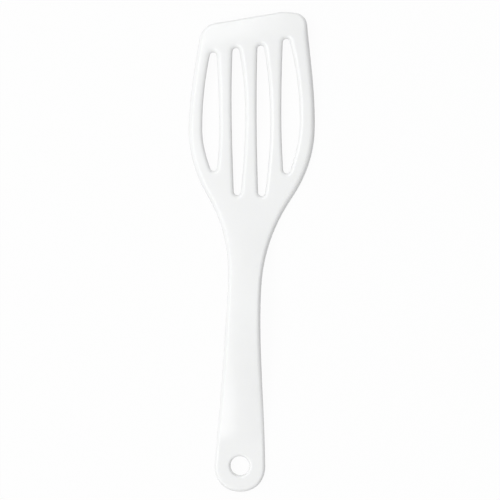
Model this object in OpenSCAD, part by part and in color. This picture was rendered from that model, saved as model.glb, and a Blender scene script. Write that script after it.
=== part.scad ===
/* One-piece slotted kitchen turner.
   The turner lies face up as it rests on a table: the end of the handle and
   the heel of the blade touch z = 0, and the blade rises a little to its tip.
   +Y runs from the handle to the tip, +X to the right of the face, +Z up. */

/* [Handle] */
// Radius of the round end of the handle, half its width there
end_r = 15.9; // [13:0.1:18]
// Half width at the waist, the narrowest place of the handle
waist_r = 10.45; // [9:0.05:13]
// Distance from the end of the handle to the waist
waist_y = 128; // [110:1:140]
// Thickness of the flat pad round the hanging hole
pad_t = 5.6; // [4.5:0.1:7]
// Length of the flat pad, from the end of the handle
pad_len = 28; // [25:0.5:36]
// Thickness of the crowned grip on its middle line
grip_t = 6.4; // [5:0.1:8]
// Distance from the end of the handle to where the grip's crown has faded
crown_end_y = 95; // [85:1:105]
// Height of the top of the handle's arch above the table, at its underside
arch_h = 12; // [6:0.5:18]
// Distance from the end of the handle to the top of the arch
arch_y = 112; // [95:1:125]

/* [Hanging hole] */
// Diameter of the hanging hole
hole_d = 12; // [8:0.1:13]
// Distance from the end of the handle to the middle of the hole
hole_y = 16.2; // [14:0.1:17.5]
// Radius that rounds the rims of the hole
hole_rim = 1.5; // [0.6:0.1:2]

/* [Neck] */
// Distance from the waist to the widest place of the blade
neck_len = 99; // [88:1:112]
// Thickness of the neck at the waist
neck_t = 6.2; // [5:0.1:7.5]
// Distance from the heel, which touches the table, to the widest place
heel_back = 49; // [44:0.5:54]

/* [Blade] */
// Width of the blade at its widest place
blade_w = 79.2; // [75:0.1:88]
// Distance from the widest place to the furthest point of the leading edge
blade_len = 73; // [68:0.5:82]
// Width between the sides where they would meet the furthest point
front_w = 64; // [60:0.2:70]
// Thickness of the blade between the slots
blade_t = 4.4; // [3.4:0.1:5]
// Thickness of the leading edge
lead_t = 2; // [1:0.1:2.6]
// Length over which the front thins to the leading edge
lead_taper = 14; // [10:0.5:17]
// How far the left corner of the leading edge is set back
lead_drop = 9; // [5:0.2:12]
// How far the bend before the furthest point of the leading edge is set back
lead_bend = 1.2; // [0.6:0.1:2]
// How far the right corner of the leading edge is set back
lead_fall = 1; // [0.4:0.1:2]
// Distance from the middle line to the bend of the leading edge
lead_bend_x = 11; // [8:0.5:14]
// Distance from the middle line to the furthest point of the leading edge
lead_peak_x = 18.5; // [16:0.5:24]
// Length that the left front corner takes from the side
corner_left = 9.6; // [5:0.2:10]
// Length that the right front corner takes from the side
corner_right = 6.8; // [4:0.2:7.6]
// Rise of the blade from the table per millimetre of its length
blade_slope = 0.07; // [0.04:0.01:0.14]

/* [Slots] */
// Distance between the middle lines of two neighbouring slots
slot_pitch = 15.3; // [14.8:0.1:16]
// How far the front ends of the slots lean to the left
slot_lean = 3; // [0:0.1:4]
// Clear width of the left slot
left_slot_w = 10.8; // [8:0.1:11.6]
// Clear width of the two inner slots
inner_slot_w = 8.6; // [6:0.1:9]
// Clear width of the right slot
right_slot_w = 11.6; // [8:0.1:12]
// Distance from the heel end of the inner slots to the widest place
inner_slot_back = 41.8; // [38:0.2:45]
// Distance from the heel end of the outer slots to the widest place
outer_slot_back = 27.2; // [24:0.2:30]
// Distance from the front ends of the slots to the leading edge
slot_land = 18.8; // [18.4:0.2:22]
// Radius of the slots' heel ends
slot_heel_r = 2.2; // [1.6:0.1:2.6]
// Radius of the slots' front ends
slot_front_r = 2.2; // [1.4:0.1:2.6]

/* [Hidden] */

// Places along the turner, from the end of the handle
widest_y = waist_y + neck_len;
length_y = widest_y + blade_len;
heel_y = widest_y - heel_back;
slot_start_y = widest_y - inner_slot_back;
blade_r = blade_w / 2;
front_r = front_w / 2;

// The end of the handle is a little fuller than half a circle, by this share of its
// radius between the tip and the side
end_fullness = 0.024;

// Half width along the turner, as knots of [place, half width, slope]. The flare
// from the waist to the blade is set as shares of the neck and of its widening.
grip_slope = -0.048;
flare_share = 0.566;
flare_rise_share = 0.544;
flare_slope = 0.63;
front_slope = -0.11;
side_knots = [
    [0, end_r, 0],
    [end_r, end_r, grip_slope],
    [waist_y, waist_r, 0],
    [waist_y + flare_share * neck_len,
     waist_r + flare_rise_share * (blade_r - waist_r), flare_slope],
    [widest_y, blade_r, 0],
    [length_y, front_r, front_slope]
];

// Leading edge across the blade, as knots of [place across, place along, slope]
lead_slope_left = 0.12;
lead_slope_bend = 0.165;
lead_slope_right = -0.05;
lead_knots = [
    [-front_r, length_y - lead_drop, lead_slope_left],
    [lead_bend_x, length_y - lead_bend, lead_slope_bend],
    [lead_peak_x, length_y, 0],
    [front_r, length_y - lead_fall, lead_slope_right]
];

// Underside: the flat pad, the arch, the heel on the table, the blade's plane
plane_share = 0.18;
plane_y = heel_y + plane_share * heel_back;
plane_z = blade_slope * (plane_y - heel_y) / 2;
under_knots = [
    [0, 0, 0],
    [pad_len, 0, 0],
    [arch_y, arch_h, 0],
    [heel_y, 0, 0],
    [plane_y, plane_z, blade_slope],
    [length_y, plane_z + blade_slope * (length_y - plane_y), blade_slope]
];

// Thickness on the middle line, thinning from the waist to the widest place. The
// fullness says how evenly the front thins to the leading edge.
lead_fullness = 1.3;
grip_share = 0.7;
grip_y = pad_len + grip_share * end_r;
thick_knots = [
    [0, pad_t, 0],
    [pad_len, pad_t, 0],
    [grip_y, grip_t, 0],
    [waist_y, neck_t, 0],
    [widest_y, blade_t, 0],
    [length_y, blade_t, 0]
];

// How far the face falls from the middle line to the sides, as a share of the
// thickness: the pad is flat, the grip is crowned
grip_crown_share = 0.13;
handle_crown_share = 0.05;
neck_crown_share = 0.04;
blade_crown_share = 0.06;
front_crown_share = 0.13;
crown_knots = [
    [0, 0, 0],
    [pad_len, 0, 0],
    [grip_y, grip_crown_share, 0],
    [crown_end_y, handle_crown_share, 0],
    [waist_y, neck_crown_share, 0],
    [widest_y, blade_crown_share, 0],
    [length_y, front_crown_share, 0]
];

// All edges are round. Above its widest line an edge reaches into the face by these
// shares of the thickness there, as knots of [place, share, slope]: the outline's
// edge, then the slots' edges. Below that line all reach in by the same share.
end_round_share = 0.36;
handle_round_share = 0.44;
neck_round_share = 0.37;
blade_round_share = 0.75;
slot_round_share = 0.50;
back_round_share = 0.30;
round_knots = [
    [0, end_round_share, 0],
    [crown_end_y, handle_round_share, 0],
    [waist_y, neck_round_share, 0],
    [widest_y, blade_round_share, 0],
    [length_y, blade_round_share, 0]
];
slot_round_knots = [
    [slot_start_y, slot_round_share, 0],
    [length_y, blade_round_share, 0]
];

// How high above the underside an edge's widest line lies, as shares of the thickness
grip_wide_share = 0.62;
neck_wide_share = 0.46;
blade_wide_share = 0.14;
slot_wide_share = 0.54;
wide_knots = [
    [grip_y, grip_wide_share, 0],
    [waist_y, neck_wide_share, 0],
    [widest_y, blade_wide_share, 0]
];

// Slots from left to right: how much of its swelling each has on its left side, where
// it is widest, how far it leans and how long its land is, as shares of the sizes above
slot_widths = [left_slot_w, inner_slot_w, inner_slot_w, right_slot_w];
slot_backs = [outer_slot_back, inner_slot_back, inner_slot_back, outer_slot_back];
bulge_left_share = [0.77, 0.22, 0.17, 0.15];
widest_share = [0.34, 0.58, 0.50, 0.40];
lean_share = [0.73, 1.10, 1.02, 0.87];
land_share = [0.98, 0.955, 1.015, 0.895];
heel_fullness = 1.8;
front_fullness = 2;
corner_fullness = 0.6;

// Rows of the mesh along the turner, columns across it and rings round its edges
end_rows = 8;
pad_rows = 2;
grip_rows = 3;
handle_rows = 16;
heel_rows = 3;
cap_steps = 4;
side_steps = 14;
slot_rows = 2 * cap_steps + side_steps;
extra_rows = cap_steps + 3;
slot_extras = [0, extra_rows, extra_rows, 0];
land_rows = 3;
corner_rows = 4;
corner_cols = 2;
bar_cols = 3;
cols = bar_cols * (len(slot_widths) + 1);
face_rings = 5;
back_rings = 3;
rim_steps = 6;
bore_facets = 96;
neck_row_share = 1.6;
neck_row_y = slot_start_y - neck_row_share * waist_r;
row_gap_share = 0.36;
row_gap = row_gap_share * slot_pitch;
heel_row_y = slot_start_y - row_gap;
split_y = widest_y - outer_slot_back;
split_row_y = split_y - row_gap;
neck_row = end_rows + pad_rows + grip_rows + handle_rows;
heel_row = neck_row + heel_rows;
split_row = heel_row + extra_rows;
land_row = split_row + slot_rows;
last_row = land_row + land_rows + corner_rows;

// Slope and fading of the rows' bows round the ends of the slots
bow_slope = 1.5;
bow_fade = 4;
wing_bow_share = 0.5;

// The underside's points lie on this grid along the turner, so that the plane of the
// blade's back stays one exact plane when its places are written with few digits
back_grid = 0.01;
overrun = 1;

// Value at u of a smooth curve through knots of [place, value, slope]
function spline(knots, u, i = 0) =
    i < len(knots) - 2 && u > knots[i + 1][0]
        ? spline(knots, u, i + 1)
        : hermite(knots[i], knots[i + 1], u);

function hermite(a, b, u) =
    let (h = b[0] - a[0], t = (u - a[0]) / h)
    a[1] * (1 + 2 * t) * pow(1 - t, 2) + h * a[2] * t * pow(1 - t, 2)
        + b[1] * t * t * (3 - 2 * t) + h * b[2] * t * t * (t - 1);

// Part t of the way from a to b, exact at both ends
function mix(a, b, t) = t == 0 ? a : t == 1 ? b : a + (b - a) * t;

function bezier(a, b, c, d, t) =
    a * pow(1 - t, 3) + b * 3 * t * pow(1 - t, 2)
        + c * 3 * t * t * (1 - t) + d * pow(t, 3);

// Places from a towards b in n steps, without b itself
function steps_to(a, b, n) = [for (i = [0:n - 1]) mix(a, b, i / n)];

// The same through stretches of [start, steps], each of which ends where the next starts
function steps_through(stretches) =
    [for (k = [1:len(stretches) - 1])
        each steps_to(stretches[k - 1][0], stretches[k][0], stretches[k - 1][1])];

function clamp(v, low, high) = max(low, min(high, v));

function back_to_front(list) = [for (i = [len(list) - 1:-1:0]) list[i]];

// The form of the turner at a place q = [across, along]
function half_width(y) = spline(side_knots, y);

function lead_y(x) = spline(lead_knots, clamp(x, -front_r, front_r));

function under(y) = spline(under_knots, y);

function thickness(q) =
    let (f = clamp((lead_y(q[0]) - q[1]) / lead_taper, 0, 1))
    mix(lead_t, spline(thick_knots, q[1]), 1 - pow(1 - f, lead_fullness));

function face(q) =
    let (fall = spline(crown_knots, q[1]) * pow(q[0] / half_width(q[1]), 2))
    under(q[1]) + thickness(q) * (1 - fall);

// The point at q on the face, side 1, or on the underside, side -1
function lift(q, side) =
    let (y = back_grid * round(q[1] / back_grid))
    side > 0 ? [q[0], q[1], face(q)] : [q[0], y, under(y)];

// Middles of the round ends of slot i, and its outline
function slot_x(i) = (i - (len(slot_widths) - 1) / 2) * slot_pitch;

function slot_heel(i) = [slot_x(i), widest_y - slot_backs[i] + slot_heel_r];

function slot_front(i) =
    let (x = slot_x(i) - lean_share[i] * slot_lean)
    [x, lead_y(x) - land_share[i] * slot_land - slot_front_r];

function round_end(middle, r, hand, turn) =
    middle + r * [hand * cos(turn), sin(turn)];

// One side of slot i, hand 1 for its right: half of each round end, and between
// them a curve that swells to the slot's widest place
function slot_side(i, hand) =
    let (
        heel = slot_heel(i),
        front = slot_front(i),
        wide = mix(heel, front, widest_share[i]),
        lean = (front[0] - heel[0]) / (front[1] - heel[1]),
        share = hand < 0 ? bulge_left_share[i] : 1 - bulge_left_share[i],
        bulge = hand * share * (slot_widths[i] - slot_heel_r - slot_front_r),
        swell = hand * mix(slot_heel_r, slot_front_r, widest_share[i]) + bulge,
        heel_way = lean + heel_fullness * bulge / (wide[1] - heel[1]),
        front_way = lean - front_fullness * bulge / (front[1] - wide[1]),
        heel_turn = -hand * atan(heel_way),
        front_turn = -hand * atan(front_way),
        a = round_end(heel, slot_heel_r, hand, heel_turn),
        b = round_end(front, slot_front_r, hand, front_turn),
        knots = [
            [a[1], a[0], heel_way],
            [wide[1], wide[0] + swell, lean],
            [b[1], b[0], front_way]
        ],
        extra = slot_extras[i] == 0 ? [] : [
            [a[1], slot_extras[i] - cap_steps],
            [split_row_y, cap_steps]
        ],
        start = slot_extras[i] == 0 ? a[1] : split_y + slot_heel_r,
        rows = steps_through(concat(extra, [[start, side_steps], [b[1], 0]]))
    )
    concat(
        [for (turn = steps_to(-90, heel_turn, cap_steps))
            round_end(heel, slot_heel_r, hand, turn)],
        [for (y = rows) [spline(knots, y), y]],
        [for (turn = concat(steps_to(front_turn, 90, cap_steps), [90]))
            round_end(front, slot_front_r, hand, turn)]
    );

function slot_loop(i) =
    let (left = slot_side(i, -1))
    concat(slot_side(i, 1), [for (j = [len(left) - 2:-1:1]) left[j]]);

// Where a side would meet the leading edge, and the round corner between them
function corner_y(hand, y, steps = 8) =
    steps == 0 ? y : corner_y(hand, lead_y(hand * half_width(y)), steps - 1);

function corner(hand) =
    let (
        run = hand < 0 ? corner_left : corner_right,
        y = corner_y(hand, length_y),
        tip = [hand * half_width(y), y],
        a = [hand * half_width(y - run), y - run],
        x = tip[0] - hand * run,
        b = [x, lead_y(x)]
    )
    [for (i = [0:corner_rows + corner_cols])
        bezier(a, mix(a, tip, corner_fullness), mix(b, tip, corner_fullness), b,
               i / (corner_rows + corner_cols))];

// One side of the outline, from the end of the handle to well round a corner. Its
// rows keep level with those of the slot that lies beside it.
function side_path(hand) =
    let (
        round_corner = corner(hand),
        front_y = slot_front(hand < 0 ? 0 : len(slot_widths) - 1)[1],
        rows = steps_through([
            [end_r, pad_rows],
            [pad_len, grip_rows],
            [grip_y, handle_rows],
            [neck_row_y, heel_rows],
            [heel_row_y, cap_steps],
            [slot_start_y + slot_heel_r, extra_rows - cap_steps],
            [split_row_y, cap_steps],
            [split_y + slot_heel_r, side_steps],
            [front_y, cap_steps],
            [front_y + slot_front_r + row_gap, land_rows],
            [round_corner[0][1], 0]
        ])
    )
    concat(
        [for (turn = steps_to(0, 90, end_rows))
            let (r = end_r * (1 + end_fullness * pow(sin(2 * turn), 2)))
            [hand * r * sin(turn), end_r - r * cos(turn)]],
        [for (y = rows) [hand * half_width(y), y]],
        [for (i = [0:corner_rows]) round_corner[i]]
    );

// The outline runs up the right side, along the leading edge and down the left
outline =
    let (
        right = side_path(1),
        left = side_path(-1),
        corner_r = corner(1),
        corner_l = corner(-1),
        corner_end = corner_rows + corner_cols,
        from = corner_r[corner_end][0],
        to = corner_l[corner_end][0],
        lead_cols = cols - 2 * corner_cols
    )
    concat(
        right,
        [for (i = [corner_rows + 1:corner_end]) corner_r[i]],
        [for (i = [1:lead_cols - 1])
            let (x = mix(from, to, i / lead_cols))
            [x, lead_y(x)]],
        [for (i = [corner_end:-1:corner_rows + 1]) corner_l[i]],
        [for (i = [last_row:-1:1]) left[i]]
    );
slot_loops = [for (i = [0:len(slot_widths) - 1]) slot_loop(i)];

// Unit vectors from a closed line into the plastic: hand 1 where it lies inside
// the line, -1 where the line is a slot
function inward(line, hand) =
    let (n = len(line))
    [for (i = [0:n - 1])
        let (d = line[(i + 1) % n] - line[(i + n - 1) % n])
        hand * [-d[1], d[0]] / norm(d)];

// How far the round edge at q reaches into the face or the underside
function round_width(q, hand, side) =
    let (share = side < 0 ? back_round_share : spline(hand > 0 ? round_knots : slot_round_knots, q[1]))
    share * thickness(q);

// How high above the underside the round edge at q is furthest out
function wide_height(q, hand) =
    let (share = hand < 0 ? slot_wide_share : spline(wide_knots, clamp(q[1], grip_y, widest_y)))
    share * thickness(q);

// Where the round edge of a line ends on the face or on the underside
function flat_line(line, hand, side) =
    let (ways = inward(line, hand))
    [for (i = [0:len(line) - 1]) line[i] + ways[i] * round_width(line[i], hand, side)];

// Ring k of the round edge of a line, from the underside up to the face
function edge_ring(line, hand, k) =
    let (
        side = k < 0 ? -1 : 1,
        ways = inward(line, hand),
        turn = 90 * k / (side > 0 ? face_rings : back_rings)
    )
    abs(turn) == 90
        ? [for (q = flat_line(line, hand, side)) lift(q, side)]
        : [for (i = [0:len(line) - 1])
            let (
                q = line[i] + ways[i] * round_width(line[i], hand, side) * (1 - cos(turn)),
                z = under(q[1]) + wide_height(line[i], hand),
                reach = side > 0 ? face(q) - z : z - under(q[1])
            )
            [q[0], q[1], z + reach * sin(turn)]];

function round_edge(line, hand) =
    [for (k = [-back_rings:face_rings])
        let (ring = edge_ring(line, hand, k))
        concat(ring, [ring[0]])];

// A patch of rows between four sides that share their corners
function patch(low, high, left, right) =
    let (rows = len(left) - 1, n = len(low) - 1)
    [for (r = [0:rows])
        [for (c = [0:n])
            let (u = c / n, v = r / rows)
            r == 0 ? low[c]
                : r == rows ? high[c]
                : c == 0 ? left[r]
                : c == n ? right[r]
                : mix(left[r], right[r], u) + mix(low[c], high[c], v)
                    - mix(mix(low[0], low[n], u), mix(high[0], high[n], u), v)]];

// Rows between two sides. Where the sides start or end at a slot, marked by 1 in
// heel and front, the rows bow towards the heel or the tip round the slot's end.
function bowed(left, right, n, heel = [0, 0], front = [0, 0]) =
    [for (r = [0:len(left) - 1])
        let (v = r / max(1, len(left) - 1), width = right[r][0] - left[r][0])
        [for (c = [0:n])
            let (
                u = c / n,
                low = mix(heel[0], heel[1], u) * pow(1 - v, bow_fade),
                high = mix(front[0], front[1], u) * pow(v, bow_fade)
            )
            mix(left[r], right[r], u) + [0, bow_slope * width * u * (1 - u) * (high - low)]]];

// One bar beside the slots, with as many rows as its shorter side has. A side that is
// a slot is marked by 1.
function bar(left, right, slots) =
    let (
        rows = min(len(left), len(right)),
        a = last_of(left, rows),
        b = last_of(right, rows)
    )
    bowed(a, b, bar_cols, [len(a) < len(left) ? 0 : slots[0], len(b) < len(right) ? 0 : slots[1]],
          slots);

function first_of(list, n) = [for (i = [0:n - 1]) list[i]];

function last_of(list, n) = [for (i = [len(list) - n:len(list) - 1]) list[i]];

// One row from several, each of which starts where the last one ends
function joined(rows) =
    [for (k = [0:len(rows) - 1], c = [0:len(rows[k]) - 1]) if (k == 0 || c > 0) rows[k][c]];

// Points of a closed line from place a to place b, backwards where b is less than a
function part_of(line, a, b) =
    let (n = len(line))
    [for (i = [a:sign(b - a):b]) line[(i + n) % n]];

// The face or the underside within the round edges, as grids: the handle, the heel,
// the land before the leading edge, the wings beside the inner slots, and the bars
function sheet(side) =
    let (
        edge = flat_line(outline, 1, side),
        holes = [for (line = slot_loops) flat_line(line, -1, side)],
        last = len(holes),
        lefts = concat([part_of(edge, -heel_row, -land_row)],
                       [for (hole = holes) part_of(hole, 0, len(hole) / 2)]),
        rights = concat([for (hole = holes) part_of(hole, 0, -len(hole) / 2)],
                        [part_of(edge, heel_row, land_row)]),
        bars = [for (k = [0:last])
            bar(lefts[k], rights[k], [k > 0 ? 1 : 0, k < last ? 1 : 0])],
        wings = [for (k = [0, last - 1])
            let (
                left = first_of(lefts[k], extra_rows + 1),
                right = first_of(rights[k + 1], extra_rows + 1),
                bow = k == 0 ? [0, wing_bow_share] : [wing_bow_share, 0],
                low = bowed([left[0]], [right[0]], 2 * bar_cols, bow)[0]
            )
            patch(low, joined([bars[k][0], bars[k + 1][0]]), left, right)],
        handle = bowed(part_of(edge, 0, -neck_row), part_of(edge, 0, neck_row), cols),
        heel = patch(handle[neck_row],
                     joined([wings[0][0], bars[last / 2][0], wings[1][0]]),
                     part_of(edge, -neck_row, -heel_row),
                     part_of(edge, neck_row, heel_row)),
        land = patch(joined([for (grid = bars) grid[len(grid) - 1]]),
                     part_of(edge, last_row + cols, last_row),
                     part_of(edge, -land_row, -last_row),
                     part_of(edge, land_row, last_row))
    )
    [for (grid = concat([handle, heel, land], wings, bars))
        [for (row = grid) [for (q = row) lift(q, side)]]];

// Triangles of a grid of points, those with two corners in one place left out
function triangles(grid, flip) =
    [for (r = [1:len(grid) - 1], c = [1:len(grid[0]) - 1])
        let (
            a = grid[r - 1][c - 1],
            b = grid[r - 1][c],
            d = grid[r][c - 1],
            e = grid[r][c]
        )
        for (t = [[a, b, e], [a, e, d]])
            if (t[0] != t[1] && t[1] != t[2] && t[2] != t[0])
                flip ? back_to_front(t) : t];

// The whole moulding, its edges rounded, without the hanging hole
module moulding() {
    shell = concat(
        triangles(round_edge(outline, 1), true),
        [for (line = slot_loops) each triangles(round_edge(line, -1), false)],
        [for (side = [-1, 1], grid = sheet(side)) each triangles(grid, side > 0)]
    );
    polyhedron(
        [for (t = shell) each t],
        [for (i = [0:len(shell) - 1]) [3 * i, 3 * i + 1, 3 * i + 2]],
        convexity = 10
    );
}

// The bore with a round rim at both ends
module hanging_hole() {
    bore_r = hole_d / 2;
    cylinder(r = bore_r, h = 2 * (pad_t + 2 * overrun), center = true, $fn = bore_facets);
    for (top = [0, 1])
        translate([0, 0, top * pad_t])
            mirror([0, 0, top])
                rotate_extrude($fn = bore_facets)
                    polygon(concat(
                        [[0, -overrun], [bore_r + hole_rim, -overrun]],
                        [for (i = [0:rim_steps])
                            let (turn = 90 * i / rim_steps)
                            [bore_r + hole_rim * (1 - sin(turn)),
                             hole_rim * (1 - cos(turn))]],
                        [[0, hole_rim]]
                    ));
}

module turner() {
    color("white")
    translate([0, -length_y / 2, 0])
        difference() {
            moulding();
            translate([0, hole_y, 0]) hanging_hole();
        }
}

turner();
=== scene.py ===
"""A slotted kitchen turner of white moulded plastic, lying face up on a pale floor.

The form is worked out in millimetres, with y running from the end of the handle to the
tip, and is set into the frame in metres at the end. Places in the plan are arrays whose
last axis holds [across, along]. Light and camera are in metres."""

import math

import bmesh
import bpy
import numpy as np
from mathutils import Matrix, Vector


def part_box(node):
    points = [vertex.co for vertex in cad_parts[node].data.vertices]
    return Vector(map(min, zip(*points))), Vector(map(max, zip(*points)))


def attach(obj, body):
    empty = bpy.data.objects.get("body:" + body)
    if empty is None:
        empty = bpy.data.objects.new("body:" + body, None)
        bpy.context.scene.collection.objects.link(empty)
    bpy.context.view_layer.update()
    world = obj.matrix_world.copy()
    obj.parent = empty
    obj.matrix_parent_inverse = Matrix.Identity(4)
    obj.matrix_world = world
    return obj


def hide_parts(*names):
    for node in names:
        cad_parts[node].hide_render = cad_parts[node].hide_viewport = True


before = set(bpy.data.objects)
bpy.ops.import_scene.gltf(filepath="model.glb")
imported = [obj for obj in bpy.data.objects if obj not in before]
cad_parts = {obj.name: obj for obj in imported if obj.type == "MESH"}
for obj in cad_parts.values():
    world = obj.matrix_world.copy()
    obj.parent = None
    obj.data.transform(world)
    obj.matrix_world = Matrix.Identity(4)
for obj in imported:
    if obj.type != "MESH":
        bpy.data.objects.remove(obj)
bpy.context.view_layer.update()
node_low, node_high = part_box("turner")
MM = 0.001

# Sizes taken from the frame
length_y = round((node_high.y - node_low.y) / MM)
blade_r = (node_high.x - node_low.x) / MM / 2

# Handle
end_r = 15.9
end_fullness = 0.024
waist_r = 10.45
waist_y = 128
pad_t = 5.6
pad_len = 28
grip_t = 6.4
crown_end_y = 95
arch_h = 12
arch_y = 112
hole_r = 6.0
hole_y = 16.2
hole_rim = 1.5

# Neck and blade. Each front corner, -1 for the left and 1 for the right, takes its run
# from the side and from the leading edge.
blade_len = 73
widest_y = length_y - blade_len
neck_len = widest_y - waist_y
neck_t = 6.2
heel_back = 49
heel_y = widest_y - heel_back
front_r = 32.0
blade_t = 4.4
lead_t = 2.0
lead_taper = 14
lead_fullness = 1.3
lead_drop = 9
lead_bend_x = 11
lead_bend = 1.2
lead_peak_x = 18.5
lead_fall = 1.0
corner_runs = {-1: 9.6, 1: 6.8}
corner_fullness = 0.6
blade_slope = 0.07

# Slots, from left to right
slot_pitch = 15.3
slot_lean = 3
slot_widths = [10.8, 8.6, 8.6, 11.6]
slot_backs = [27.2, 41.8, 41.8, 27.2]
slot_land = 18.8
slot_heel_r = 2.2
slot_front_r = 2.2
bulge_left_share = [0.77, 0.22, 0.17, 0.15]
widest_share = [0.34, 0.58, 0.50, 0.40]
lean_share = [0.73, 1.10, 1.02, 0.87]
land_share = [0.98, 0.955, 1.015, 0.895]
heel_fullness = 1.8
front_fullness = 2
slot_start_y = widest_y - slot_backs[1]

# Curves are given as knots of [place, value, slope]. Half width along the turner: the
# flare from the waist to the blade is set as shares of the neck and of its widening.
grip_slope = -0.048
flare_share = 0.566
flare_rise_share = 0.544
flare_slope = 0.63
front_slope = -0.11
flare_y = waist_y + flare_share * neck_len
flare_r = waist_r + flare_rise_share * (blade_r - waist_r)
side_knots = [
    [0, end_r, 0],
    [end_r, end_r, grip_slope],
    [waist_y, waist_r, 0],
    [flare_y, flare_r, flare_slope],
    [widest_y, blade_r, 0],
    [length_y, front_r, front_slope],
]

# Leading edge, across the blade
lead_slope_left = 0.12
lead_slope_bend = 0.165
lead_slope_right = -0.05
lead_knots = [
    [-front_r, length_y - lead_drop, lead_slope_left],
    [lead_bend_x, length_y - lead_bend, lead_slope_bend],
    [lead_peak_x, length_y, 0],
    [front_r, length_y - lead_fall, lead_slope_right],
]

# Underside: the flat pad, the arch, the heel on the table and the blade's plane
plane_share = 0.18
plane_y = heel_y + plane_share * (widest_y - heel_y)
plane_z = blade_slope * (plane_y - heel_y) / 2
under_knots = [
    [0, 0, 0],
    [pad_len, 0, 0],
    [arch_y, arch_h, 0],
    [heel_y, 0, 0],
    [plane_y, plane_z, blade_slope],
    [length_y, plane_z + blade_slope * (length_y - plane_y), blade_slope],
]

# Thickness on the middle line
grip_share = 0.7
grip_y = pad_len + grip_share * end_r
thick_knots = [
    [0, pad_t, 0],
    [pad_len, pad_t, 0],
    [grip_y, grip_t, 0],
    [waist_y, neck_t, 0],
    [widest_y, blade_t, 0],
    [length_y, blade_t, 0],
]

# How far the face falls from the middle line to the sides, as shares of the thickness
grip_crown_share = 0.13
handle_crown_share = 0.05
neck_crown_share = 0.04
blade_crown_share = 0.06
front_crown_share = 0.13
crown_knots = [
    [0, 0, 0],
    [pad_len, 0, 0],
    [grip_y, grip_crown_share, 0],
    [crown_end_y, handle_crown_share, 0],
    [waist_y, neck_crown_share, 0],
    [widest_y, blade_crown_share, 0],
    [length_y, front_crown_share, 0],
]

# All edges are round. Above its widest line an edge reaches into the face by these
# shares of the thickness: the outline's edge, then the slots' edges. Below that line
# all reach in by the same share.
end_round_share = 0.36
handle_round_share = 0.44
neck_round_share = 0.37
blade_round_share = 0.75
slot_round_share = 0.50
back_round_share = 0.30
round_knots = [
    [0, end_round_share, 0],
    [crown_end_y, handle_round_share, 0],
    [waist_y, neck_round_share, 0],
    [widest_y, blade_round_share, 0],
    [length_y, blade_round_share, 0],
]
slot_round_knots = [
    [slot_start_y, slot_round_share, 0],
    [length_y, blade_round_share, 0],
]

# How high above the underside an edge's widest line lies, as shares of the thickness
grip_wide_share = 0.62
neck_wide_share = 0.46
blade_wide_share = 0.14
slot_wide_share = 0.54
wide_knots = [
    [grip_y, grip_wide_share, 0],
    [waist_y, neck_wide_share, 0],
    [widest_y, blade_wide_share, 0],
]

# Density of the mesh: rows along the turner, columns across it, rings round its edges
# and down the hole. The inner slots start further back than the outer ones, and take
# extra rows for that. Points closer than the weld's gap, in metres, become one.
end_rows = 22
pad_rows = 8
grip_rows = 8
handle_rows = 56
heel_rows = 8
cap_steps = 10
side_steps = 56
slot_rows = 2 * cap_steps + side_steps
inner_rows = 12
extra_rows = cap_steps + inner_rows
slot_extras = [0, extra_rows, extra_rows, 0]
land_rows = 8
corner_rows = 10
corner_cols = 5
bar_cols = 6
cols = bar_cols * (len(slot_widths) + 1)
face_rings = 12
back_rings = 6
hole_rings = 6
rim_steps = 6
wall_steps = 3
tip_tries = 8
weld_gap = 1e-6

# Numbers and places of the rows where one grid of the mesh ends and the next one starts
pad_row = end_rows + pad_rows
neck_row = pad_row + grip_rows + handle_rows
heel_row = neck_row + heel_rows
split_row = heel_row + extra_rows
land_row = split_row + slot_rows
last_row = land_row + land_rows + corner_rows
row_gap_share = 0.36
neck_row_share = 1.6
row_gap = row_gap_share * slot_pitch
neck_row_y = slot_start_y - neck_row_share * waist_r
heel_row_y = slot_start_y - row_gap
split_y = widest_y - slot_backs[0]
split_row_y = split_y - row_gap

# Slope and fading of the rows' bows round the ends of the slots
bow_slope = 1.5
bow_fade = 4
wing_bow_share = 0.5

# White plastic. A noise is given as its scale and detail. Light that enters the plastic
# glows back out from the depths given in metres for red, green and blue.
plastic_dark = (0.852, 0.859, 0.857, 1)
plastic_light = (0.877, 0.884, 0.882, 1)
cloud_noise = (18, 3)
cloud_dark_end = 0.35
cloud_light_start = 0.65
rough_noise = (90, 4)
rough_low = 0.14
rough_high = 0.19
refraction = 1.4
glow_share = 0.12
glow_depths = (0.004, 0.004, 0.0036)

# Its waves along the flow of the plastic, its grain from the mould and its rubbing
# marks, as (noise, stretch of the noise, strength, height in metres)
bumps = [
    ((45, 2), (1, 0.35, 1), 0.25, 0.00025),
    ((1800, 4), (1, 1, 1), 0.12, 0.00003),
    ((260, 5), (9, 0.5, 1), 0.10, 0.00002),
]

# Surroundings
white = (1, 1, 1, 1)
floor_reach = 4.0
floor_color = (0.70, 0.70, 0.70, 1)
floor_white_share = 0.96
sky_level = 0.45
lamp_place = (-1.122, 0.25, 2.346)
lamp_target = (0, 0.25, 0)
lamp_size = (4.4, 1.40)
lamp_watts = 62

# Camera, with its lean and roll in degrees
picture_px = 500
sensor_mm = 36
mm_per_px = 0.6248
camera_distance = 1.6
camera_lean = 5.5
camera_roll = 2.0
camera_target = (0.0017, 0.0012, 0.004)


def spline(knots, u):
    """Value at u of a smooth curve through knots of [place, value, slope]."""
    knots, u = np.array(knots, float), np.asarray(u, float)
    i = np.clip(np.searchsorted(knots[:, 0], u) - 1, 0, len(knots) - 2)
    a, b = knots[i], knots[i + 1]
    h = b[..., 0] - a[..., 0]
    t = (u - a[..., 0]) / h
    start = (a[..., 1] * (1 + 2 * t) + h * a[..., 2] * t) * (1 - t) ** 2
    return start + (b[..., 1] * (3 - 2 * t) + h * b[..., 2] * (t - 1)) * t * t


def mix(a, b, t):
    """Part t of the way from a to b."""
    return a + (b - a) * t


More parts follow.
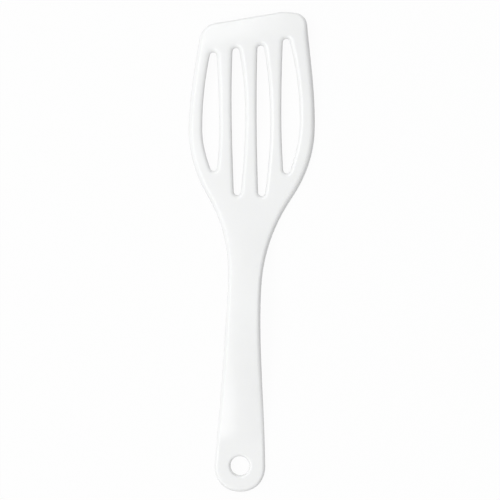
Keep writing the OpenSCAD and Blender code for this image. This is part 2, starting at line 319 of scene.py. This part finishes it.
def steps(a, b, n):
    """n + 1 points from a to b, along a new first axis."""
    t = np.linspace(0, 1, n + 1).reshape(-1, *[1] * np.ndim(a))
    return mix(np.asarray(a, float), np.asarray(b, float), t)


def rows_through(places, counts):
    """Places of rows from the first place towards the last, with a count for each
    stretch between two of them, and without the last place itself."""
    stretches = zip(places, places[1:], counts)
    return np.concatenate([steps(a, b, n)[:-1] for a, b, n in stretches])


def half_width(y):
    """Half the width of the outline at y."""
    return spline(side_knots, y)


def lead_y(x):
    """Place of the leading edge at x."""
    return spline(lead_knots, np.clip(x, -front_r, front_r))


def under(q):
    """Height of the underside at q."""
    return spline(under_knots, q[..., 1])


def thickness(q):
    """Thickness on the middle line, thinned towards the leading edge."""
    f = np.clip((lead_y(q[..., 0]) - q[..., 1]) / lead_taper, 0, 1)
    return mix(lead_t, spline(thick_knots, q[..., 1]), 1 - (1 - f) ** lead_fullness)


def face(q):
    """Height of the face at q."""
    fall = spline(crown_knots, q[..., 1]) * (q[..., 0] / half_width(q[..., 1])) ** 2
    return under(q) + thickness(q) * (1 - fall)


def lift(q, side):
    """The points at q on the face, side 1, or on the underside, side -1."""
    z = face(q) if side > 0 else under(q)
    return np.concatenate([q, z[..., None]], axis=-1)


def slot_side(i, hand):
    """One side of slot i, hand 1 for its right: half of each round end, and between
    them a curve that swells to the slot's widest place."""
    x = (i - (len(slot_widths) - 1) / 2) * slot_pitch
    heel = np.array([x, widest_y - slot_backs[i] + slot_heel_r])
    front_x = x - lean_share[i] * slot_lean
    front_y = float(lead_y(front_x)) - land_share[i] * slot_land - slot_front_r
    front = np.array([front_x, front_y])
    wide = mix(heel, front, widest_share[i])
    lean = (front[0] - heel[0]) / (front[1] - heel[1])
    share = bulge_left_share[i] if hand < 0 else 1 - bulge_left_share[i]
    bulge = hand * share * (slot_widths[i] - slot_heel_r - slot_front_r)
    swell = hand * mix(slot_heel_r, slot_front_r, widest_share[i]) + bulge
    heel_way = lean + heel_fullness * bulge / (wide[1] - heel[1])
    front_way = lean - front_fullness * bulge / (front[1] - wide[1])

    def round_end(middle, r, start, end):
        turns = np.linspace(start, end, cap_steps + 1)[:, None]
        return middle + r * np.hstack([hand * np.cos(turns), np.sin(turns)])

    a = round_end(heel, slot_heel_r, -math.pi / 2, -hand * math.atan(heel_way))
    b = round_end(front, slot_front_r, -hand * math.atan(front_way), math.pi / 2)
    knots = [
        [a[-1, 1], a[-1, 0], heel_way],
        [wide[1], wide[0] + swell, lean],
        [b[0, 1], b[0, 0], front_way],
    ]
    places, counts = [a[-1, 1], b[0, 1]], [side_steps]
    if slot_extras[i]:
        places[1:1] = [split_row_y, split_y + slot_heel_r]
        counts[:0] = [inner_rows, cap_steps]
    y = rows_through(places, counts)
    return np.vstack([a[:-1], np.column_stack([spline(knots, y), y]), b])


def corner(hand):
    """The round front corner on one side, from the side to the leading edge. The place
    where these two would meet is closed in on step by step."""
    y = length_y
    for _ in range(tip_tries):
        y = float(lead_y(hand * half_width(y)))
    run = corner_runs[hand]
    tip = np.array([hand * float(half_width(y)), y])
    a = np.array([hand * float(half_width(y - run)), y - run])
    x = tip[0] - hand * run
    d = np.array([x, float(lead_y(x))])
    b, c = mix(a, tip, corner_fullness), mix(d, tip, corner_fullness)
    t = np.linspace(0, 1, corner_rows + corner_cols + 1)[:, None]
    s = 1 - t
    return a * s**3 + b * 3 * t * s**2 + c * 3 * t * t * s + d * t**3


def side_path(hand, round_corner, front_y):
    """One side of the outline, from the end of the handle to well round a corner. Its
    rows keep level with those of the slot that lies beside it."""
    turns = np.linspace(0, math.pi / 2, end_rows + 1)[:-1]
    r = end_r * (1 + end_fullness * np.sin(2 * turns) ** 2)
    end = np.column_stack([hand * r * np.sin(turns), end_r - r * np.cos(turns)])
    stretches = [
        (end_r, pad_rows),
        (pad_len, grip_rows),
        (grip_y, handle_rows),
        (neck_row_y, heel_rows),
        (heel_row_y, cap_steps),
        (slot_start_y + slot_heel_r, inner_rows),
        (split_row_y, cap_steps),
        (split_y + slot_heel_r, side_steps),
        (front_y, cap_steps),
        (front_y + slot_front_r + row_gap, land_rows),
        (round_corner[0, 1], 0),
    ]
    places, counts = zip(*stretches)
    y = rows_through(places, counts[:-1])
    side = np.column_stack([hand * half_width(y), y])
    return np.vstack([end, side, round_corner[: corner_rows + 1]])


# The slots' closed lines and the outline, all counterclockwise as seen from above
slot_count = len(slot_widths)
slot_sides = [[slot_side(i, hand) for hand in (-1, 1)] for i in range(slot_count)]
slot_loops = [np.vstack([right, left[-2:0:-1]]) for left, right in slot_sides]
corners = {hand: corner(hand) for hand in (-1, 1)}
left_path, right_path = (
    side_path(hand, corners[hand], slot_sides[i][0][-1, 1] - slot_front_r)
    for hand, i in ((-1, 0), (1, -1))
)
lead_x = steps(corners[1][-1, 0], corners[-1][-1, 0], cols - 2 * corner_cols)
outline = np.vstack(
    [
        right_path,
        corners[1][corner_rows + 1 :],
        np.column_stack([lead_x, lead_y(lead_x)])[1:-1],
        corners[-1][:corner_rows:-1],
        left_path[:0:-1],
    ]
)


def inward(line, hand):
    """Unit vectors from a closed line into the plastic, hand 1 for the outline and -1
    for a slot, here and in the next four functions."""
    d = np.roll(line, -1, axis=0) - np.roll(line, 1, axis=0)
    d /= np.linalg.norm(d, axis=1, keepdims=True)
    return hand * np.column_stack([-d[:, 1], d[:, 0]])


def round_width(line, hand, side):
    """How far the round edge reaches into the face or the underside along a line."""
    share = spline(round_knots if hand > 0 else slot_round_knots, line[:, 1])
    return ((share if side > 0 else back_round_share) * thickness(line))[:, None]


def wide_height(line, hand):
    """How high above the underside the round edge of a line is furthest out."""
    share = spline(wide_knots, np.clip(line[:, 1], grip_y, widest_y))
    return (share if hand > 0 else slot_wide_share) * thickness(line)


def flat_line(line, hand, side):
    """Where the round edge of a line ends on the face or on the underside."""
    return line + inward(line, hand) * round_width(line, hand, side)


def round_edge(line, hand):
    """Rings round the edge of a line, from the underside up to the face."""
    rings = []
    for k in range(-back_rings, face_rings + 1):
        side, count = (-1, back_rings) if k < 0 else (1, face_rings)
        turn = math.pi / 2 * k / count
        width = round_width(line, hand, side)
        q = line + inward(line, hand) * width * (1 - math.cos(turn))
        z = under(q) + wide_height(line, hand)
        reach = face(q) - z if side > 0 else z - under(q)
        if abs(k) == count:
            rings.append(lift(flat_line(line, hand, side), side))
        else:
            rings.append(np.column_stack([q, z + reach * math.sin(turn)]))
    rings = np.array(rings)
    return np.concatenate([rings, rings[:, :1]], axis=1)


def patch(low, high, left, right):
    """Rows of points between four sides that share their corners."""
    u = np.linspace(0, 1, len(low))[None, :, None]
    v = np.linspace(0, 1, len(left))[:, None, None]
    sides = mix(left[:, None], right[:, None], u) + mix(low[None], high[None], v)
    return sides - mix(mix(low[0], low[-1], u), mix(high[0], high[-1], u), v)


def bowed(left, right, columns, heels=(0, 0), fronts=(0, 0)):
    """Rows between two sides. Where the left or right side starts or ends at a slot,
    the rows bow towards the heel or the tip, round the slot's end. The shares of these
    bows on the left and right are given in heels and fronts."""
    grid = steps(left, right, columns).swapaxes(0, 1)
    u = np.linspace(0, 1, columns + 1)
    v = np.linspace(0, 1, len(left))[:, None]
    low, high = (bow_slope * u * (1 - u) * mix(*ends, u) for ends in (heels, fronts))
    bow = high * v**bow_fade - low * (1 - v) ** bow_fade
    grid[..., 1] += bow * (right - left)[:, :1]
    return grid


def joined(rows):
    """One row from several, each of which starts where the last one ends."""
    return np.vstack([rows[0]] + [row[1:] for row in rows[1:]])


def pad_loop(line):
    """The closed line round the pad: down its left side, up its right and across."""
    n = len(line)
    ends = line[np.arange(-pad_row, pad_row + 1) % n]
    return np.vstack([ends, steps(line[pad_row], line[n - pad_row], cols)[1:]])


def hole_ring(r):
    """A circle round the hole, its points in the directions of the pad's outline."""
    way = pad_loop(outline) - [0, hole_y]
    return [0, hole_y] + r * way / np.linalg.norm(way, axis=1, keepdims=True)


def sheet(side):
    """Grids of points of the face or the underside, within the round edges: the pad,
    the handle, the heel, the land before the leading edge, a wing behind each outer
    slot, and the bars beside and between the slots."""
    edge = flat_line(outline, 1, side)
    n = len(edge)
    holes = [flat_line(line, -1, side) for line in slot_loops]

    def left_edge(start, end):
        return edge[(n - np.arange(start, end + 1)) % n]

    def right_edge(start, end):
        return edge[start : end + 1]

    def between(low, high, start, end):
        return patch(low, high, left_edge(start, end), right_edge(start, end))

    lefts = [left_edge(heel_row, land_row)]
    lefts += [hole[: len(hole) // 2 + 1] for hole in holes]
    rights = [np.vstack([hole[:1], hole[: len(hole) // 2 - 1 : -1]]) for hole in holes]
    rights += [right_edge(heel_row, land_row)]
    bars = []
    for k, (left, right) in enumerate(zip(lefts, rights)):
        rows = min(len(left), len(right))
        fronts = (int(k > 0), int(k < len(holes)))
        heels = (fronts[0] * (len(left) == rows), fronts[1] * (len(right) == rows))
        bars.append(bowed(left[-rows:], right[-rows:], bar_cols, heels, fronts))
    ends = slice(0, extra_rows + 1)
    wings = []
    for k, heels in ((0, (0, wing_bow_share)), (len(holes) - 1, (wing_bow_share, 0))):
        left, right = lefts[k][ends], rights[k + 1][ends]
        low = bowed(left[:1], right[:1], 2 * bar_cols, heels)[0]
        wings.append(patch(low, joined([bars[k][0], bars[k + 1][0]]), left, right))
    middle_bar = bars[len(holes) // 2]
    handle = bowed(left_edge(pad_row, neck_row), right_edge(pad_row, neck_row), cols)
    heel_end = joined([wings[0][0], middle_bar[0], wings[1][0]])
    heel = between(handle[-1], heel_end, neck_row, heel_row)
    tip = edge[last_row + cols - np.arange(cols + 1)]
    land = between(joined([bar[-1] for bar in bars]), tip, land_row, last_row)
    pad = steps(hole_ring(hole_r + hole_rim), pad_loop(edge), hole_rings)
    return [lift(grid, side) for grid in [pad, handle, heel, land] + wings + bars]


def hole_wall():
    """Rings down the hanging hole: a round rim, the straight wall, a round rim."""
    turns = np.linspace(0, math.pi / 2, rim_steps + 1)
    radii = [hole_r + hole_rim * (1 - math.sin(turn)) for turn in turns]
    depths = [hole_rim * (1 - math.cos(turn)) for turn in turns]
    top = list(zip(radii, depths))
    wall = [(hole_r, z) for z in steps(hole_rim, pad_t - hole_rim, wall_steps)[1:-1]]
    rings = []
    for r, depth in top + wall + [(r, pad_t - depth) for r, depth in reversed(top)]:
        ring = hole_ring(r)
        rings.append(np.column_stack([ring, np.full(len(ring), pad_t - depth)]))
    return np.array(rings)


def mesh_of(grids, name):
    """One closed mesh from grids of points that share their borders."""
    points, quads, count = [], [], 0
    for grid in grids:
        rows, columns = grid.shape[:2]
        at = count + np.arange(rows * columns).reshape(rows, columns)
        count += rows * columns
        corners_at = [at[:-1, :-1], at[:-1, 1:], at[1:, 1:], at[1:, :-1]]
        points.append(grid.reshape(-1, 3))
        quads.append(np.stack(corners_at, axis=-1).reshape(-1, 4))
    places = (np.vstack(points) - [0, length_y / 2, 0]) * MM
    mesh = bpy.data.meshes.new(name)
    mesh.from_pydata(places.tolist(), [], np.vstack(quads).tolist())
    shape = bmesh.new()
    shape.from_mesh(mesh)
    bmesh.ops.remove_doubles(shape, verts=shape.verts, dist=weld_gap)
    bmesh.ops.recalc_face_normals(shape, faces=shape.faces)
    for part in shape.faces:
        part.smooth = True
    shape.to_mesh(mesh)
    shape.free()
    return mesh


def make_turner(material):
    """The moulding, on the one body of the frame."""
    edges = [round_edge(outline, 1)] + [round_edge(line, -1) for line in slot_loops]
    grids = edges + sheet(1) + sheet(-1) + [hole_wall()]
    piece = bpy.data.objects.new("turner_moulding", mesh_of(grids, "turner_moulding"))
    piece.data.materials.append(material)
    bpy.context.collection.objects.link(piece)
    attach(piece, "root")
    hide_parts("turner")


class Nodes:
    """Short calls for the nodes and links of one material or world."""

    def __init__(self, tree):
        self.tree = tree
        tree.nodes.clear()

    def add(self, kind, **values):
        """A node with the given values on its inputs, whose names have _ for spaces."""
        node = self.tree.nodes.new(kind)
        for name, value in values.items():
            node.inputs[name.replace("_", " ")].default_value = value
        return node

    def math(self, operation):
        node = self.add("ShaderNodeMath")
        node.operation = operation
        return node

    def link(self, source, target):
        self.tree.links.new(source, target)

    def show(self, kind, surface):
        """Show a surface through an output node of the given kind."""
        self.link(surface, self.add(kind).inputs["Surface"])

    def blend(self, factor, plain, shown):
        """A surface that is plain where the factor is 0 and shown where it is 1."""
        node = self.add("ShaderNodeMixShader")
        self.link(factor, node.inputs["Fac"])
        self.link(plain, node.inputs[1])
        self.link(shown, node.inputs[2])
        return node.outputs["Shader"]


def white_plastic():
    """Smooth white moulding: a faint cloudiness, fine grain from the mould, a slight
    waviness along the flow of the plastic and hair-fine rubbing marks."""
    material = bpy.data.materials.new("white_plastic")
    material.use_nodes = True
    n = Nodes(material.node_tree)
    place = n.add("ShaderNodeTexCoord").outputs["Object"]

    def noise(scale, detail, stretch=(1, 1, 1)):
        mapping = n.add("ShaderNodeMapping", Scale=stretch)
        texture = n.add("ShaderNodeTexNoise", Scale=scale, Detail=detail)
        n.link(place, mapping.inputs["Vector"])
        n.link(mapping.outputs["Vector"], texture.inputs["Vector"])
        return texture.outputs["Fac"]

    shader = n.add(
        "ShaderNodeBsdfPrincipled",
        IOR=refraction,
        Subsurface_Weight=glow_share,
        Subsurface_Radius=glow_depths,
        Subsurface_Scale=1,
    )
    cloud = n.add("ShaderNodeValToRGB")
    dark, light = cloud.color_ramp.elements
    dark.position, dark.color = cloud_dark_end, plastic_dark
    light.position, light.color = cloud_light_start, plastic_light
    n.link(noise(*cloud_noise), cloud.inputs["Fac"])
    n.link(cloud.outputs["Color"], shader.inputs["Base Color"])

    rough = n.add("ShaderNodeMapRange", To_Min=rough_low, To_Max=rough_high)
    n.link(noise(*rough_noise), rough.inputs["Value"])
    n.link(rough.outputs["Result"], shader.inputs["Roughness"])

    normal = None
    for pattern, stretch, strength, height in bumps:
        bump = n.add("ShaderNodeBump", Strength=strength, Distance=height)
        n.link(noise(*pattern, stretch), bump.inputs["Height"])
        if normal is not None:
            n.link(normal, bump.inputs["Normal"])
        normal = bump.outputs["Normal"]
    n.link(normal, shader.inputs["Normal"])
    n.show("ShaderNodeOutputMaterial", shader.outputs["BSDF"])
    return material


def shown_white(n):
    """A factor that is 1 for rays that show the background, and 0 for light."""
    path = n.add("ShaderNodeLightPath")
    factor = path.outputs["Is Camera Ray"]
    for name in ("Is Glossy Ray", "Is Transmission Ray"):
        larger = n.math("MAXIMUM")
        n.link(factor, larger.inputs[0])
        n.link(path.outputs[name], larger.inputs[1])
        factor = larger.outputs["Value"]
    return factor


def make_floor():
    """A pale floor that shows almost white and keeps a faint shadow."""
    mesh = bpy.data.meshes.new("floor")
    r = floor_reach
    square = [(-r, -r, 0), (r, -r, 0), (r, r, 0), (-r, r, 0)]
    mesh.from_pydata(square, [], [(0, 1, 2, 3)])
    floor = bpy.data.objects.new("floor", mesh)
    bpy.context.collection.objects.link(floor)
    material = bpy.data.materials.new("floor")
    material.use_nodes = True
    n = Nodes(material.node_tree)
    pale = n.add("ShaderNodeBsdfDiffuse", Color=floor_color)
    glow = n.add("ShaderNodeEmission", Color=white, Strength=1)
    share = n.math("MULTIPLY")
    n.link(shown_white(n), share.inputs[0])
    share.inputs[1].default_value = floor_white_share
    n.show(
        "ShaderNodeOutputMaterial",
        n.blend(share.outputs["Value"], pale.outputs["BSDF"], glow.outputs["Emission"]),
    )
    mesh.materials.append(material)


def make_world():
    """A sky that gives even light and shows white."""
    world = bpy.data.worlds.new("studio")
    bpy.context.scene.world = world
    world.use_nodes = True
    n = Nodes(world.node_tree)
    light, glow = (
        n.add("ShaderNodeBackground", Color=white, Strength=level).outputs["Background"]
        for level in (sky_level, 1)
    )
    n.show("ShaderNodeOutputWorld", n.blend(shown_white(n), light, glow))


def make_lamp():
    """One large soft lamp to the upper left."""
    light = bpy.data.lights.new("key", "AREA")
    light.shape = "RECTANGLE"
    light.size, light.size_y = lamp_size
    light.energy = lamp_watts
    lamp = bpy.data.objects.new("key", light)
    bpy.context.collection.objects.link(lamp)
    lamp.location = lamp_place
    way = Vector(lamp_target) - Vector(lamp_place)
    lamp.rotation_euler = way.to_track_quat("-Z", "Y").to_euler()


def make_camera():
    """The photograph's view: nearly straight down, a little from the right, with the
    turner's middle line a little off the picture's upright."""
    lean, roll = math.radians(camera_lean), math.radians(camera_roll)
    back = Vector((math.sin(lean), 0, math.cos(lean)))
    up = Vector((-math.sin(roll), math.cos(roll), 0))
    right = up.cross(back).normalized()
    data = bpy.data.cameras.new("camera")
    data.sensor_width = sensor_mm
    data.lens = sensor_mm * camera_distance / (mm_per_px * MM) / picture_px
    data.dof.use_dof = False
    camera = bpy.data.objects.new("camera", data)
    turn = Matrix((right, back.cross(right), back)).transposed()
    place = Vector(camera_target) + back * camera_distance
    camera.matrix_world = Matrix.Translation(place) @ turn.to_4x4()
    bpy.context.collection.objects.link(camera)
    bpy.context.scene.camera = camera


make_camera()
make_world()
make_floor()
make_lamp()
make_turner(white_plastic())
bpy.context.scene.view_settings.view_transform = "Standard"
